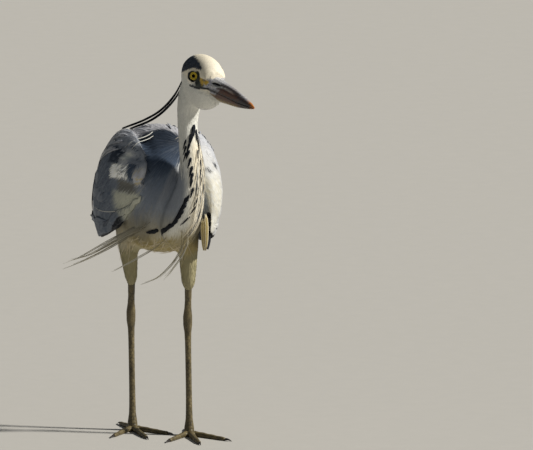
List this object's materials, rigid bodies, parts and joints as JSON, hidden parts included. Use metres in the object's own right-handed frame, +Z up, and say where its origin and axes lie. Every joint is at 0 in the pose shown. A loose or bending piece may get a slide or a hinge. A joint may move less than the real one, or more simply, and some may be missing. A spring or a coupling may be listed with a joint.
{
  "type": "grey heron",
  "caption": "Life-size still grey heron wading: body level, neck raised, head turned to its left, crest and breast plumes blown to its right, standing on both feet.",
  "frame": {"origin": "on the floor, at the middle of the bounding box", "axes": "+Z up; the bird faces -Y, its left is +X"},
  "size_m": [0.221, 0.5768, 0.5128],
  "materials": {
    "grey_feather": "soft blue-grey vanes, matt",
    "pale_feather": "white to pale grey small feathers, matt, black streaks down the foreneck",
    "white_plume": "long loose cream plumes",
    "black_feather": "blue-black vanes with a slight gloss",
    "bill_horn": "horn, grey-brown above, orange-brown towards the tip, satin",
    "leg_scale": "scaled olive-brown skin, satin",
    "claw_horn": "dark horn, satin",
    "iris": "wet yellow iris with a black pupil under a clear cornea"
  },
  "bodies": {
    "root": {"bill_lower": "bill_horn", "bill_upper": "bill_horn", "breast": "pale_feather", "chin": "pale_feather", "claw_left_hind": "claw_horn", "claw_left_inner": "claw_horn", "claw_left_middle": "claw_horn", "claw_left_outer": "claw_horn", "claw_right_hind": "claw_horn", "claw_right_inner": "claw_horn", "claw_right_middle": "claw_horn", "claw_right_outer": "claw_horn", "crest_plume_lower": "black_feather", "crest_plume_upper": "black_feather", "eye_left": "iris", "eye_right": "iris", "head": "pale_feather", "neck_lower": "pale_feather", "neck_middle": "pale_feather", "neck_nape": "pale_feather", "neck_upper": "pale_feather", "plume_breast_1": "white_plume", "plume_breast_2": "white_plume", "plume_breast_3": "white_plume", "plume_breast_4": "white_plume", "plume_breast_5": "white_plume", "plume_breast_6": "white_plume", "primaries_left": "black_feather", "primaries_right": "black_feather", "shank_left": "leg_scale", "shank_right": "leg_scale", "tail": "grey_feather", "tarsus_left": "leg_scale", "tarsus_right": "leg_scale", "thigh_left": "pale_feather", "thigh_right": "pale_feather", "thumb_left": "white_plume", "toe_left_hind": "leg_scale", "toe_left_inner": "leg_scale", "toe_left_middle": "leg_scale", "toe_left_outer": "leg_scale", "toe_right_hind": "leg_scale", "toe_right_inner": "leg_scale", "toe_right_middle": "leg_scale", "toe_right_outer": "leg_scale", "trunk": "grey_feather", "wing_left": "grey_feather", "wing_right": "grey_feather"}
  },
  "joints": []
}
